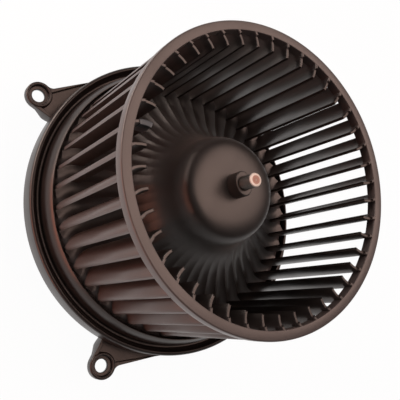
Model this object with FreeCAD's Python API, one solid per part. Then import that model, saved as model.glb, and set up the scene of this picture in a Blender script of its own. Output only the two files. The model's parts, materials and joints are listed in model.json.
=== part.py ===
import FreeCAD, Part
import math
import os
from FreeCAD import Vector

# Car cabin blower motor: an open squirrel-cage fan wheel on the shaft of a brushed motor.
# All sizes are millimetres. The shaft is the Z axis, the wheel's open end points to +Z,
# and Z = 0 is the seat plane, the front faces of the three mounting ears.

# Fan wheel
wheel_r = 75.0            # outer radius of the front ring and of the blades
wheel_height = 83.5       # front ring's face to the underside of the base
ring_width = 4.8          # front ring, measured radially
ring_depth = 5.5          # front ring, measured along the shaft
ring_edge = 0.5           # bevel on the front ring's edges
blade_count = 44
blade_depth = 12.8        # blade, measured radially
blade_thick = 1.5
blade_arc_r = 12.5        # curve of the blade's section
blade_lean = 1.9          # the curve's centre lies this far outside the blade's tip
blade_step = 1.2          # the blade's free end lies this far below the ring's face
blade_set_back = 0.35     # the blades' outer edges lie this far inside the ring's edge
blade_phase = 4.14        # angle of the first blade
base_thick = 3.5          # rim of the wheel's base
wheel_floor_gap = 2.0     # wheel's base to the flange's floor
wheel_rim_gap = 1.0       # wheel's edge to the flange's inner rim
hub_wall = 2.2
hub_gap = 1.8             # motor can to the inside of the hub
hub_rise = 22.5           # motor can's front to the hub's cap
cap_drop = 3.5            # fall of the hub's cap from the boss to its shoulder
shoulder_in = 4.8         # shoulder of the cap inside the hub's neck
neck_in = 1.0             # the neck's waist inside its widest place
neck_rise = 7.0           # the waist in front of the motor can
root_rise = 2.0           # hub's flank above the base at the blades' tips
boss_r = 6.4
boss_height = 5.5
boss_depth = 14.0         # boss below the cap
boss_edge = 0.6
flute_deep = 1.5          # depth of the flutes between the blade roots, at the wheel's edge

# Balance clip
clip_sheet = 0.5
clip_length = 5.5
clip_reach = 8.0
clip_inset = 0.3          # clip's edge beyond the blade's tip
clip_blade = 40           # which blade carries it

# Shaft, bearings and motor can
shaft_r = 3.5
shaft_front = 11.5        # free end in front of the boss
shaft_edge = 0.8
shaft_end_gap = 3.0       # shaft's rear end to the cover's floor
can_r = 26.0
can_wall = 1.5
can_length = 62.0
can_back = 12.0           # rear end of the can behind the seat plane
can_corner = 4.0
bearing_r = 7.0
bearing_length = 8.0
bearing_seat = 2.5        # bearing's middle beyond the wall that carries it
bearing_run = 0.04        # running clearance of the shaft
pocket_wall = 1.2
retainer_thick = 0.6
retainer_r = 12.0
retainer_fit = 0.1
hole_gap = 1.0            # holes in the can's ends round the shaft
washer_r = 6.5
washer_thick = 1.0
washer_run = 0.3

# Rotor windings, commutator and magnets
magnet_thick = 6.8
front_room = 14.1         # core's front end to the can's inside
core_slots = 12
slot_width = 2.8
core_yoke = 6.5           # solid ring of the core inside the slots
wire_drop = 1.2           # outside of the wires below the core's outside
wire_fit = 0.3            # wires to the slot's bottom
end_turn_height = 5.2
comm_gap = 0.3            # commutator to the windings and to the card
comm_r = 7.5
comm_length = 12.0
comm_slots = 12
comm_slot_width = 0.6
comm_slot_depth = 0.8
air_gap = 1.2             # core to magnets
magnet_overhang = 4.0     # magnets beyond each end of the core
magnet_span = 136.0       # degrees
magnet_spring_sheet = 0.7
magnet_spring_drop = 1.5  # bow of the magnets' springs below the can
magnet_spring_inset = 3.0 # springs shorter than the magnets at each end
magnet_spring_fit = 0.1

# Brush gear
card_thick = 2.0
card_fit = 0.3
card_hole_r = 10.5
brush_width = 6.0
brush_height = 5.0
spring_length = 4.75
brush_run = 0.15
holder_wall = 0.6
holder_fit = 0.15
holder_gap = 1.65         # holder's open end to the commutator
holder_clear = 1.0        # holder's closed end to the can
spring_wire = 0.6
spring_turns = 3
spring_steps = 8          # straight stretches of wire in a turn
choke_r = 2.6
choke_length = 12.0
choke_inset = 7.5         # the chokes' middle inside the can's wall
plate_thick = 1.5

# Rubber isolators and the flange moulding
isolator_thick = 5.0
isolator_height = 6.0
isolator_fit = 0.2
flange_wall = 2.2
floor_z = 14.5            # floor under the wheel
inner_rim_height = 6.5    # inner rim above the floor
inner_rim_width = 3.3
rim_slope = 8.5           # height of the inner rim's rounded shoulder
rim_round = 2.6           # and its width
groove_width = 2.5
groove_drop = 6.5         # bottom of the groove below the floor
outer_rim_width = 3.6
outer_rim_height = 4.2    # outer rim above the groove's bottom
skirt_bottom = -6.0
skirt_inset = 4.2         # skirt inside the rim's edge, with a channel between them
lip_thick = 2.0           # rim's edge outside the channel
cup_lip = 3.0
cup_lip_thick = 2.0
cup_reach = 8.0           # end of the motor's cup behind the can
rib_count = 6
rib_thick = 1.8

# Mounting ears
ear_reach = 12.1          # ear holes outside the flange
ear_angles = ((51.45, 1), (-51.45, -1), (200.0, 1))   # direction, and the web's side
ear_boss_r = 7.4
ear_hole_r = 3.6
ear_dish_r = 5.7          # recess round the hole
ear_dish = 2.5            # its depth, which is also the web's place below the ear's face
ear_web = 2.0
ear_edge = 0.5
ear_wall = 2.0
ear_wall_drop = 0.6
ear_depth = 9.0           # depth of the ear's walls near the flange
ear_long_side = 24.0      # degrees along the rim to the end of the long side
ear_short_side = 4.0
ear_long_offset = 1.1     # the long side passes this far from the hole's centre

# Rear cover, its screws and the plug socket
cover_wall = 2.0
cover_lap = 6.0
cover_fit = 0.3
cover_depth = 6.0         # cover's floor below the cup's end
cover_edge = 1.5
screw_count = 3
screw_first = 0.0
screw_r = 2.0
screw_head_r = 3.8
screw_head_height = 2.4
screw_length = 12.0
screw_clear = 0.6         # screw head to the cover's wall
screw_fit = 0.3           # screw in the lug's hole
lug_r = 4.6
lug_thick = 3.0
socket_width = 20.0
socket_height = 11.0
socket_wall = 1.6
socket_length = 26.0
socket_depth = 15.0       # depth of the plug's cavity
socket_z = -3.0           # middle of the socket
socket_flange = 2.5
socket_fit = 0.2
socket_gap = 0.3          # socket's flange to the cup, and its end inside the cup's bore
latch_length = 4.0
latch_width = 6.0
latch_height = 1.6
terminal_width = 6.3
terminal_thick = 0.8
terminal_spacing = 9.0
terminal_recess = 5.5     # terminal tips below the socket's mouth
terminal_lap = 3.0        # the terminals' lap over the chokes
window_gap = 0.6
cut_past = 3.0            # openings' cutting blocks reach this far past the walls

# Heights and radii that follow from the sizes above
base_z = floor_z + wheel_floor_gap
ring_z = base_z + wheel_height
base_top = base_z + base_thick
ring_r = wheel_r - ring_width
tip_r = wheel_r - blade_depth
neck_r = can_r + hub_gap + hub_wall
can_rear_z = -can_back
can_front_z = can_rear_z + can_length
cap_z = can_front_z + hub_rise
shoulder_r = neck_r - shoulder_in
shoulder_z = cap_z - cap_drop
boss_z = cap_z + boss_height
shaft_top = boss_z + shaft_front
can_in_r = can_r - can_wall
pocket_r = bearing_r + pocket_wall
plate_z = can_rear_z - plate_thick
card_z = can_rear_z + retainer_thick
card_top = card_z + card_thick
comm_z = card_top + comm_gap
core_z = comm_z + comm_length + comm_gap + end_turn_height
core_top = can_front_z - can_wall - front_room
magnet_z = core_z - magnet_overhang
magnet_top = core_top + magnet_overhang
magnet_in_r = can_in_r - magnet_thick
core_r = magnet_in_r - air_gap
slot_depth = core_r - shaft_r - core_yoke
brush_z = card_top + holder_wall + holder_fit
brush_in = comm_r + brush_run
holder_out = can_in_r - holder_clear
brush_out = holder_out - holder_wall - spring_length
choke_place = can_in_r - choke_inset
cup_in_r = can_r + isolator_thick
cup_r = cup_in_r + flange_wall
rim_in_r = wheel_r + wheel_rim_gap
rim_r = rim_in_r + inner_rim_width
groove_r = rim_r + groove_width
flange_r = groove_r + outer_rim_width
skirt_r = flange_r - skirt_inset
ear_place = flange_r + ear_reach
groove_z = floor_z - groove_drop
outer_rim_z = groove_z + outer_rim_height
under_z = floor_z - flange_wall
ear_bottom = -ear_dish - ear_web
cup_bottom = can_rear_z - cup_reach
cover_z = cup_bottom - cover_depth
cover_top = cup_bottom + cover_lap
cover_in_r = cup_r + cover_fit
cover_r = cover_in_r + cover_wall
screw_place = cover_r + screw_head_r + screw_clear
shaft_bottom = cover_z + cover_wall + shaft_end_gap
rear_bearing_z = can_rear_z - bearing_seat
front_bearing_z = can_front_z - can_wall + bearing_seat
blade_centre = (tip_r + blade_lean, math.sqrt(blade_arc_r ** 2 - blade_lean ** 2))


# Small tools for sections and solids

def at(r, z):
    return Vector(r, 0, z)


def bend(centre, radius, start, end, steps):
    """Points of a rounding in a section, in even steps between two angles in degrees."""
    angles = [math.radians(start + (end - start) * k / steps) for k in range(steps + 1)]
    return [(centre[0] + radius * math.cos(angle), centre[1] + radius * math.sin(angle)) for angle in angles]


def spin_points(points):
    wire = Part.makePolygon([at(*point) for point in points + points[:1]])
    return Part.Face(wire).revolve(Vector(0, 0, 0), Vector(0, 0, 1), 360)


def rod(radius, bottom, top, x=0.0, y=0.0):
    return Part.makeCylinder(radius, top - bottom, Vector(x, y, bottom))


def tube(outer, inner, bottom, top):
    return rod(outer, bottom, top).cut(rod(inner, bottom - 1, top + 1))


def block(x0, x1, y0, y1, z0, z1):
    return Part.makeBox(x1 - x0, y1 - y0, z1 - z0, Vector(x0, y0, z0))


def turned(shape, angle):
    copy = shape.copy()
    copy.rotate(Vector(0, 0, 0), Vector(0, 0, 1), angle)
    return copy


def around(shape, count, first=0.0):
    return [turned(shape, first + 360.0 * k / count) for k in range(count)]


def prism(points, bottom, top):
    corners = [Vector(x, y, bottom) for x, y in points]
    face = Part.Face(Part.makePolygon(corners + corners[:1]))
    return face.extrude(Vector(0, 0, top - bottom))


def polygon_rod(radius, bottom, top):
    """Prism with one corner for each slot of the armature."""
    half_pitch = math.pi / core_slots
    corners = [(radius * math.cos(half_pitch * (2 * k + 1)), radius * math.sin(half_pitch * (2 * k + 1)))
               for k in range(core_slots)]
    return prism(corners, bottom, top)


def joined(shapes):
    return shapes[0].multiFuse(shapes[1:]).removeSplitter()


def on_curve(points, t):
    """Point of a Bezier curve at the share t of its way."""
    while len(points) > 1:
        points = [(a[0] + (b[0] - a[0]) * t, a[1] + (b[1] - a[1]) * t) for a, b in zip(points, points[1:])]
    return points[0]


def inward(points):
    """Shift a section's points to the inside by the hub's wall."""
    shifted = []
    for k, (r, z) in enumerate(points):
        r0, z0 = points[max(k - 1, 0)]
        r1, z1 = points[min(k + 1, len(points) - 1)]
        length = math.hypot(r1 - r0, z1 - z0)
        shifted.append((r + hub_wall * (z1 - z0) / length, z - hub_wall * (r1 - r0) / length))
    return shifted


# Fan wheel

def hub_curves():
    """Outside of the bell hub: cap, shoulder and flank, as curve points."""
    neck = (neck_r - neck_in, can_front_z + neck_rise)
    width = shoulder_r - boss_r
    step = neck[0] - shoulder_r
    drop = shoulder_z - neck[1]
    run = tip_r - neck[0]
    fall = neck[1] - base_top
    cap = [(boss_r, cap_z), (boss_r + 0.46 * width, cap_z),
           (shoulder_r - 0.16 * width, cap_z - 0.11 * cap_drop), (shoulder_r, shoulder_z)]
    shoulder = [cap[-1], (shoulder_r + 0.58 * step, shoulder_z - 0.2 * drop),
                (neck[0] - 0.18 * step, neck[1] + 0.42 * drop), neck]
    flank = [neck, (neck[0] + 0.066 * run, neck[1] - 0.36 * fall),
             (neck[0] + 0.273 * run, base_top + 0.33 * fall), (tip_r, base_top + root_rise)]
    return cap, shoulder, flank


def hub_ridge():
    """Ridge line of the hub's outside: the smooth points of the cap, then those of the fluted flank."""
    cap, shoulder, flank = hub_curves()
    smooth = [on_curve(cap, t) for t in (0.25, 0.6, 1.0)] + [on_curve(shoulder, t) for t in (0.5, 1.0)]
    fluted = [on_curve(flank, t) for t in (0.25, 0.5, 0.75, 1.0)] + [(wheel_r, base_top)]
    return smooth, fluted


def pleated(r, z, pleat=1.0):
    """Corners of one station: a ridge behind every blade, a flute in every gap."""
    share = pleat * flute_deep / wheel_r
    half_pitch = 180.0 / blade_count
    corners = []
    for k in range(2 * blade_count):
        depth = r * share if k % 2 else 0.0
        angle = math.radians(blade_phase + k * half_pitch)
        corners.append(Vector((r - depth) * math.cos(angle), (r - depth) * math.sin(angle), z - depth))
    return corners


def panels(upper, lower):
    """Flat panels between two stations, as triangles where the flutes begin or end."""
    faces = []
    for k, corner in enumerate(upper):
        quad = [corner, upper[k - 1], lower[k - 1], lower[k]]
        normal = (quad[1] - quad[0]).cross(quad[2] - quad[0]).normalize()
        flat = abs(normal.dot(quad[3] - quad[0])) < 1e-7
        pieces = [quad] if flat else [quad[:3], [quad[0], quad[2], quad[3]]]
        faces += [Part.Face(Part.makePolygon(piece + piece[:1])) for piece in pieces]
    return faces


def bell(smooth, fluted, foot):
    """Solid bell of flat panels, from its level cap down to its foot."""
    foot_r, foot_z = foot
    stations = [pleated(r, z, 0.0) for r, z in smooth] + [pleated(r, z) for r, z in fluted]
    stations.append(pleated(foot_r, foot_z, 0.0))
    faces = [Part.Face(Part.makePolygon(ring + ring[:1])) for ring in (stations[0], stations[-1])]
    for upper, lower in zip(stations, stations[1:]):
        faces += panels(upper, lower)
    return Part.makeSolid(Part.makeShell(faces))


def fan_hub():
    """Bell-shaped hub with flutes that fade under the cap, hollow behind, with the shaft's boss."""
    smooth, fluted = hub_ridge()
    outside = bell(smooth, fluted, (wheel_r, base_z))
    ridge = inward(smooth + fluted[:-1])
    foot_r = ridge[-1][0] + ridge[-1][1] - base_z
    hollow = bell(ridge[1:len(smooth)], ridge[len(smooth):] + [(foot_r, base_z)],
                  (foot_r, base_z - base_thick))
    inner_boss = rod(boss_r, cap_z - boss_depth, cap_z - hub_wall / 2)
    outer_boss = spin_points([(0, cap_z - hub_wall / 2), (boss_r, cap_z - hub_wall / 2),
                              (boss_r, boss_z - boss_edge), (boss_r - boss_edge, boss_z), (0, boss_z)])
    bore = rod(shaft_r, cap_z - boss_depth - 1, boss_z + 1)
    return joined([outside.cut(hollow), inner_boss.fuse(outer_boss)]).cut(bore)


def blade_sector(extra, start_r, end_r):
    """Section of a blade, with extra thickness on both sides, between two radii."""
    cx, cy = blade_centre
    start = math.atan2(-cy, start_r - cx)
    end = math.atan2(-math.sqrt(max(blade_arc_r ** 2 - (end_r - cx) ** 2, 0.0)), end_r - cx)
    outer = blade_arc_r + blade_thick / 2 + extra
    inner = blade_arc_r - blade_thick / 2 - extra
    middle = (start + end) / 2

    def point(radius, angle):
        return Vector(cx + radius * math.cos(angle), cy + radius * math.sin(angle), 0)

    far = Part.Arc(point(outer, start), point(outer, middle), point(outer, end)).toShape()
    near = Part.Arc(point(inner, start), point(inner, middle), point(inner, end)).toShape()
    side = Part.LineSegment(point(outer, end), point(inner, end)).toShape()
    back = Part.LineSegment(point(outer, start), point(inner, start)).toShape()
    return Part.Face(Part.Wire(Part.__sortEdges__([far, side, near, back])))


def blade():
    """One blade: an arc section that rises from the hub's base, outside and inside the front ring."""
    bottom = base_z + base_thick / 2
    bar = blade_sector(0.0, tip_r, wheel_r + 0.8).extrude(Vector(0, 0, ring_z - blade_step - bottom))
    bar.translate(Vector(0, 0, bottom))
    bar = turned(bar.common(rod(wheel_r - blade_set_back, bottom - 1, ring_z)), blade_phase)
    return max(bar.cut([fan_ring(), fan_hub()]).Solids, key=lambda solid: solid.Volume)


def fan_blades():
    return Part.makeCompound(around(blade(), blade_count))


def fan_ring():
    return spin_points([(ring_r, ring_z - ring_depth), (wheel_r, ring_z - ring_depth),
                        (wheel_r, ring_z - ring_edge), (wheel_r - ring_edge, ring_z), (ring_r, ring_z)])


def balance_clip():
    """Folded spring-steel clip, pushed over a blade's free end."""
    top = ring_z - blade_step
    start_r = tip_r + clip_inset
    body = blade_sector(clip_sheet, start_r, start_r + clip_length)
    body = body.extrude(Vector(0, 0, clip_reach + clip_sheet))
    core = blade_sector(0.0, start_r - 2, start_r + clip_length + 2).extrude(Vector(0, 0, clip_reach))
    clip = body.cut(core)
    clip.translate(Vector(0, 0, top - clip_reach))
    return turned(clip, blade_phase + clip_blade * 360.0 / blade_count)


# Shaft and rotor

def motor_shaft():
    return spin_points([(0, shaft_bottom), (shaft_r - shaft_edge, shaft_bottom),
                        (shaft_r, shaft_bottom + shaft_edge), (shaft_r, shaft_top - shaft_edge),
                        (shaft_r - shaft_edge, shaft_top), (0, shaft_top)])


def armature_core():
    """Laminated stack with open slots."""
    slot = block(core_r - slot_depth, core_r + 1, -slot_width / 2, slot_width / 2, core_z - 1, core_top + 1)
    return tube(core_r, shaft_r, core_z, core_top).cut(around(slot, core_slots))


def armature_windings():
    """Copper coils: a bundle at each end that runs from slot to slot, joined by the wires in the slots."""
    inner = core_r - slot_depth
    outer = core_r - wire_drop
    crowns = []
    for bottom, top in ((core_top, core_top + end_turn_height), (core_z - end_turn_height, core_z)):
        crowns.append(polygon_rod(outer, bottom, top).cut(polygon_rod(inner, bottom - 1, top + 1)))
    wires = block(inner + wire_fit, outer - 2 * wire_fit, -slot_width / 2, slot_width / 2, core_z, core_top)
    return joined(crowns + around(wires, core_slots))


def commutator():
    """Copper bars round a moulded core."""
    body = tube(comm_r, shaft_r, comm_z, comm_z + comm_length)
    cut = block(comm_r - comm_slot_depth, comm_r + 2, -comm_slot_width / 2, comm_slot_width / 2, comm_z - 1,
                comm_z + comm_length + 1)
    return body.cut(around(cut, comm_slots, 180.0 / comm_slots))


def thrust_washers():
    front = front_bearing_z - bearing_length / 2 - washer_run
    rear = rear_bearing_z + bearing_length / 2 + washer_run
    bore = shaft_r + bearing_run
    return Part.makeCompound([tube(washer_r, bore, front - washer_thick, front),
                              tube(washer_r, bore, rear, rear + washer_thick)])


# Motor can, bearings and magnets

def bearing(height):
    """Self-aligning sintered bush, barrel-shaped outside."""
    half = bearing_length / 2
    bore = shaft_r + bearing_run
    end_r = math.sqrt(bearing_r ** 2 - half ** 2)
    return spin_points([(bore, height - half), (end_r, height - half), (bearing_r, height - half / 3),
                        (bearing_r, height + half / 3), (end_r, height + half), (bore, height + half)])


def motor_can():
    """Deep-drawn steel can, closed in front around the bearing's pocket, with windows for the terminals."""
    top = can_front_z
    pocket_top = front_bearing_z + bearing_length / 2 + pocket_wall
    hole = shaft_r + hole_gap
    bend = can_corner * (1 - math.sqrt(0.5))
    can = spin_points([(can_in_r, can_rear_z), (can_r, can_rear_z), (can_r, top - can_corner),
                       (can_r - bend, top - bend), (can_r - can_corner, top), (pocket_r, top),
                       (pocket_r, pocket_top), (hole, pocket_top), (hole, pocket_top - pocket_wall),
                       (bearing_r, pocket_top - pocket_wall), (bearing_r, top - can_wall),
                       (can_r - can_corner, top - can_wall), (can_in_r, top - can_corner)])
    high = terminal_thick / 2 + window_gap
    wide = terminal_width / 2 + window_gap
    windows = [block(-can_r - cut_past, -can_in_r + cut_past, y - wide, y + wide,
                     socket_z - high, socket_z + high)
               for y in (-terminal_spacing / 2, terminal_spacing / 2)]
    return can.cut(windows)


def bearing_retainer(height, facing):
    """Pressed steel spring washer that holds a bearing in its pocket."""
    inner = math.sqrt(bearing_r ** 2 - bearing_seat ** 2) + retainer_fit
    ends = sorted((height, height + facing * retainer_thick))
    return tube(retainer_r, inner, *ends)


def magnet(direction):
    shell = tube(can_in_r, magnet_in_r, magnet_z, magnet_top)
    half = magnet_span / 2
    reach = 2 * can_r
    edge = (math.cos(math.radians(half)) * reach, math.sin(math.radians(half)) * reach)
    wedge = prism([(0, 0), (edge[0], -edge[1]), (reach, -edge[1]), (reach, edge[1]), edge],
                  magnet_z - 1, magnet_top + 1)
    return turned(shell.common(wedge), direction)


def magnet_springs():
    """Two bowed steel clips that press the magnets apart."""
    low = magnet_in_r + air_gap
    high = can_in_r - magnet_spring_drop
    reach = low * math.tan(math.radians(90 - magnet_span / 2)) - magnet_spring_fit
    bottom = magnet_z + magnet_spring_inset
    top = magnet_top - magnet_spring_inset
    bow = block(-reach, reach, high - magnet_spring_sheet, high, bottom, top)
    leg = block(reach - magnet_spring_sheet, reach, low, high, bottom, top)
    other = block(-reach, -reach + magnet_spring_sheet, low, high, bottom, top)
    clip = joined([bow, leg, other])
    return Part.makeCompound([clip, turned(clip, 180)])


def end_plate():
    """Steel plate that closes the can, with the rear bearing's pocket pressed into it."""
    pocket_bottom = rear_bearing_z - bearing_length / 2 - pocket_wall
    hole = shaft_r + hole_gap
    return spin_points([(bearing_r, can_rear_z), (can_r, can_rear_z), (can_r, plate_z),
                        (pocket_r, plate_z), (pocket_r, pocket_bottom), (hole, pocket_bottom),
                        (hole, pocket_bottom + pocket_wall), (bearing_r, pocket_bottom + pocket_wall)])


# Brush gear

def brush_card():
    """Eight-sided card that carries the brush gear, with a hole round the commutator and the retainer."""
    corner_r = can_in_r - card_fit
    angles = [math.radians(22.5 + 45 * k) for k in range(8)]
    corners = [(corner_r * math.cos(angle), corner_r * math.sin(angle)) for angle in angles]
    return prism(corners, card_z, card_top).cut(rod(card_hole_r, card_z - 1, card_top + 1))


def brush_holder():
    """Square brass tube on the card, along +Y."""
    side = brush_width / 2 + holder_fit
    top = brush_z + brush_height + holder_fit
    bottom = brush_z - holder_fit
    outside = block(-side - holder_wall, side + holder_wall, comm_r + holder_gap, holder_out,
                    bottom - holder_wall, top + holder_wall)
    inside = block(-side, side, brush_in, holder_out - holder_wall, bottom, top)
    return outside.cut(inside)


def brush_holders():
    holder = brush_holder()
    return Part.makeCompound([holder, turned(holder, 180)])


def brush(direction):
    """Carbon brush with a hollow end that matches the commutator."""
    top = brush_z + brush_height
    body = block(-brush_width / 2, brush_width / 2, brush_in - 1.2, brush_out, brush_z, top)
    return turned(body.cut(rod(brush_in, brush_z - 1, top + 1)), direction)


def brush_spring(direction):
    """Coil spring of square wire between the brush and the closed end of its holder."""
    radius = brush_height / 2 - spring_wire
    half = spring_wire / 2
    steps = spring_turns * spring_steps
    sections = []
    for k in range(steps + 1):
        rise = half + (spring_length - spring_wire) * k / steps
        corners = [Vector(radius + dx, 0, rise + dz)
                   for dx, dz in ((-half, -half), (half, -half), (half, half), (-half, half))]
        square = Part.makePolygon(corners + corners[:1])
        square.rotate(Vector(0, 0, 0), Vector(0, 0, 1), 360.0 * k / spring_steps)
        sections.append(square)
    coil = Part.makeLoft(sections, True, True)
    coil.rotate(Vector(0, 0, 0), Vector(1, 0, 0), -90)
    coil.translate(Vector(0, brush_out, brush_z + brush_height / 2))
    return turned(coil, direction)


def choke_coils():
    """Two interference chokes, rods that lie on the card."""
    start = Vector(choke_place, -choke_length / 2, card_top + choke_r)
    choke = Part.makeCylinder(choke_r, choke_length, start, Vector(0, 1, 0))
    return Part.makeCompound([choke, turned(choke, 180)])


# Rubber, flange moulding and rear cover

def isolator(bottom):
    """Rubber ring between the motor can and the cup."""
    return tube(cup_in_r - isolator_fit, can_r, bottom, bottom + isolator_height)


def flange_rim():
    """Skirt, outer rim with its channel, groove and inner rim of the flange."""
    lip_r = flange_r - lip_thick
    channel_z = groove_z - flange_wall
    crest_r = (groove_r + flange_r) / 2
    roll = flange_r - crest_r
    hollow = groove_width / 2
    rim_top = floor_z + inner_rim_height
    inner_r = rim_r - flange_wall
    skirt_in_r = skirt_r - flange_wall
    shoulder = (rim_slope ** 2 + rim_round ** 2) / (2 * rim_round)
    turn = math.degrees(math.asin(rim_slope / shoulder))
    points = [(rim_in_r, rim_top), (rim_in_r, under_z), (inner_r, under_z), (inner_r, channel_z),
              (skirt_in_r, channel_z), (skirt_in_r, skirt_bottom), (skirt_r, skirt_bottom),
              (skirt_r, channel_z), (lip_r, channel_z), (lip_r, 0), (flange_r, 0)]
    points += bend((crest_r, outer_rim_z - roll), roll, 0, 90, 2)
    points += bend((rim_r + hollow, groove_z + hollow), hollow, 0, -180, 3)
    points += bend((rim_r - shoulder, rim_top - rim_slope), shoulder, 0, turn, 3)
    return spin_points(points)


def flange_floor():
    """Floor under the wheel, between the motor's cup and the inner rim."""
    return tube(rim_in_r, cup_r, under_z, floor_z)


def motor_cup():
    """Cup round the motor, with a lip over the front isolator and a window for the plug socket."""
    lip_r = cup_in_r - cup_lip
    lip_z = floor_z - cup_lip_thick
    cup = spin_points([(lip_r, floor_z), (lip_r, lip_z), (cup_in_r, lip_z),
                       (cup_in_r, cup_bottom), (cup_r, cup_bottom), (cup_r, floor_z)])
    half_w = socket_width / 2 + socket_fit
    half_h = socket_height / 2 + socket_fit
    return cup.cut(block(-cup_r - cut_past, -cup_in_r + cut_past, -half_w, half_w,
                         socket_z - half_h, socket_z + half_h))


def flange_ribs():
    """Ribs under the floor, deepest at the cup."""
    end = math.sqrt((rim_r - flange_wall) ** 2 - (rib_thick / 2) ** 2)
    corners = [at(cup_r, under_z), at(end, under_z), at(end, groove_z - flange_wall / 2),
               at(cup_r, skirt_bottom)]
    rib = Part.Face(Part.makePolygon(corners + corners[:1]))
    rib.translate(Vector(0, -rib_thick / 2, 0))
    return Part.makeCompound(around(rib.extrude(Vector(0, rib_thick, 0)), rib_count, 180.0 / rib_count))


def ear_outline(side):
    """Corners of an ear along +X: its long side runs to the given side, beside the flange's rim."""
    joint_r = skirt_r - flange_wall
    edge_r = flange_r - flange_wall / 4
    long_end = math.radians(ear_long_side)
    short_end = math.radians(-ear_short_side)
    far = (edge_r * math.cos(long_end), edge_r * math.sin(long_end))
    root = (joint_r * math.cos(long_end), joint_r * math.sin(long_end))
    near = (joint_r * math.cos(short_end), joint_r * math.sin(short_end))
    reach = math.hypot(far[0] - ear_place, far[1])
    turn = math.atan2(far[1], far[0] - ear_place) - math.asin(ear_long_offset / reach)
    crown = (ear_place + ear_long_offset * math.cos(turn - math.pi / 2),
             ear_long_offset * math.sin(turn - math.pi / 2))
    short_reach = math.hypot(near[0] - ear_place, near[1])
    short_turn = math.atan2(near[1], near[0] - ear_place) + math.acos(ear_boss_r / short_reach)
    grip = (ear_place + ear_boss_r * math.cos(short_turn), ear_boss_r * math.sin(short_turn))
    return [(x, side * y) for x, y in (far, crown, (ear_place, 0), grip, near, root)]


def ear(side):
    """Mounting ear: thin web with a ring round the hole, and walls that are deepest beside the flange."""
    outline = ear_outline(side)
    wire = Part.makePolygon([Vector(x, y, 0) for x, y in outline + outline[:1]])
    room = Part.Face(wire.makeOffset2D(-ear_wall))
    upper = room.extrude(Vector(0, 0, ear_dish))
    upper.translate(Vector(0, 0, -ear_dish))
    lower = room.extrude(Vector(0, 0, -ear_depth))
    lower.translate(Vector(0, 0, ear_bottom))
    walls = prism(outline, -ear_depth, -ear_wall_drop).cut([upper, lower])
    deep_from = flange_r + ear_wall / 2
    deep_to = deep_from + ear_wall
    tip = ear_place + 2 * ear_boss_r
    profile = [at(0, 0), at(0, skirt_bottom), at(skirt_r, skirt_bottom), at(deep_from, -ear_depth),
               at(deep_to, -ear_depth), at(ear_place - ear_boss_r / 2, ear_bottom),
               at(tip, ear_bottom), at(tip, 0)]
    side_view = Part.Face(Part.makePolygon(profile + profile[:1])).extrude(Vector(0, 2 * flange_r, 0))
    side_view.translate(Vector(0, -flange_r, 0))
    boss = rod(ear_boss_r, ear_bottom, 0, ear_place)
    rim = [e for e in boss.Edges if abs(e.BoundBox.ZMin) < 1e-6 and abs(e.BoundBox.ZMax) < 1e-6]
    boss = boss.makeChamfer(ear_edge, rim)
    ear = walls.common(side_view).fuse(boss).removeSplitter()
    return ear.cut([rod(skirt_r, -ear_depth - 1, 1), rod(ear_dish_r, -ear_dish, 1, ear_place),
                    rod(ear_hole_r, -ear_depth, 1, ear_place)])


def mounting_ears():
    return Part.makeCompound([turned(ear(side), angle) for angle, side in ear_angles])


def screw_bosses():
    """Bosses for the cover's screws, each on a web beside the cup."""
    boss = rod(lug_r, cover_top, under_z, screw_place)
    web = block(cup_r, screw_place, -rib_thick, rib_thick, cover_top, under_z)
    pilot = rod(screw_r, cover_top - 1, cover_top + screw_length, screw_place)
    return Part.makeCompound(around(boss.fuse(web).cut(pilot), screw_count, screw_first))


def rear_cover():
    """Lid over the motor's rear end, with three screw lugs and a ring that holds the isolator."""
    floor = cover_z + cover_wall
    hold_r = cup_in_r - cover_fit
    inside_r = hold_r - cover_wall
    shell = spin_points([(0, cover_z), (cover_r - cover_edge, cover_z), (cover_r, cover_z + cover_edge),
                         (cover_r, cover_top), (cover_in_r, cover_top), (cover_in_r, floor),
                         (hold_r, floor), (hold_r, can_rear_z), (inside_r, can_rear_z),
                         (inside_r, floor), (0, floor)])
    lug = rod(lug_r, cover_top - lug_thick, cover_top, screw_place)
    bridge = block(cover_r - cover_wall / 2, screw_place, -lug_r, lug_r, cover_top - lug_thick, cover_top)
    lugs = around(lug.fuse(bridge), screw_count, screw_first)
    body = joined([shell] + lugs)
    holes = around(rod(screw_r + screw_fit, cover_z, cover_top + 1, screw_place), screw_count, screw_first)
    return body.cut(holes)


def cover_screws():
    """Hexagon-headed screws through the lugs into the flange's bosses."""
    seat = cover_top - lug_thick
    corners = [(screw_place + screw_head_r * math.cos(math.radians(60 * k)),
                screw_head_r * math.sin(math.radians(60 * k))) for k in range(6)]
    head = prism(corners, seat - screw_head_height, seat)
    screw = head.fuse(rod(screw_r, seat, seat + screw_length, screw_place)).removeSplitter()
    return Part.makeCompound(around(screw, screw_count, screw_first))


# Plug socket, terminals and leads

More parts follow.
